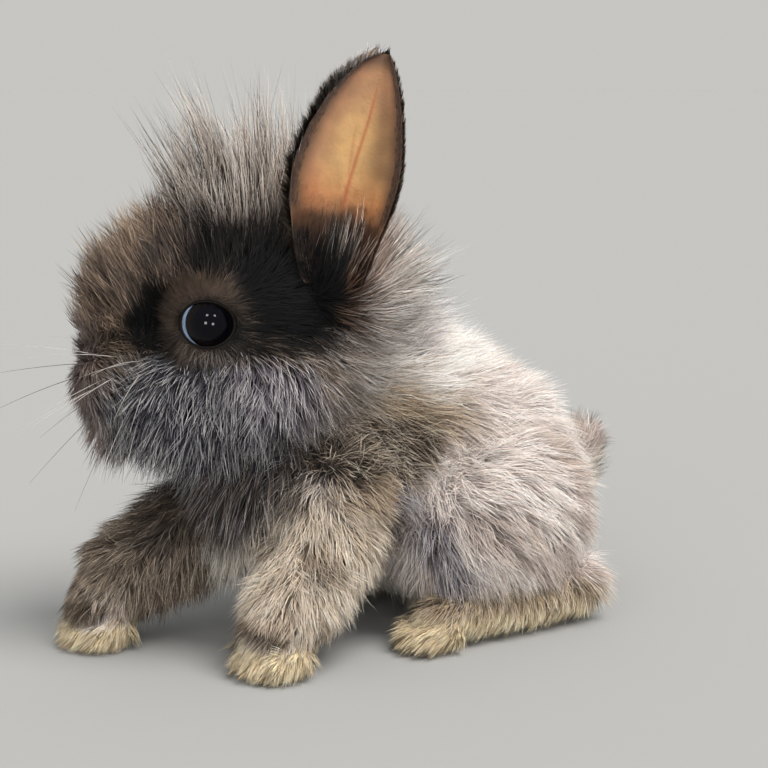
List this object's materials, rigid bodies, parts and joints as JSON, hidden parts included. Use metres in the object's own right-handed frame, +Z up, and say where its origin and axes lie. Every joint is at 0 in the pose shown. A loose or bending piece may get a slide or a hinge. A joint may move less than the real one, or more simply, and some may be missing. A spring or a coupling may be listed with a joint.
{
  "type": "young mini lop rabbit",
  "caption": "Life-size still model of a long-coated young mini lop rabbit sitting on all four feet, ears up, head turned to its right.",
  "frame": {"origin": "bottom centre of the bounding box, on the floor that the feet rest on", "axes": "+Z up, the body faces -Y, its left side is +X, and the head is turned to its right, towards -X"},
  "size_m": [0.0932, 0.1702, 0.1334],
  "materials": {
    "agouti_coat": "long soft agouti fur with dark roots and pale tips",
    "mane_coat": "long woolly cream fur with grey roots",
    "leg_coat": "short dense buff fur",
    "ear_skin": "thin warm skin with short dark fur at the margin",
    "eye": "wet gloss"
  },
  "bodies": {
    "root": {"head": "agouti_coat", "neck": "mane_coat", "torso": "agouti_coat", "tail": "agouti_coat", "left_foreleg": "leg_coat", "right_foreleg": "leg_coat", "left_hind_leg": "leg_coat", "right_hind_leg": "leg_coat", "left_ear": "ear_skin", "right_ear": "ear_skin", "left_eye": "eye", "right_eye": "eye"}
  },
  "joints": []
}
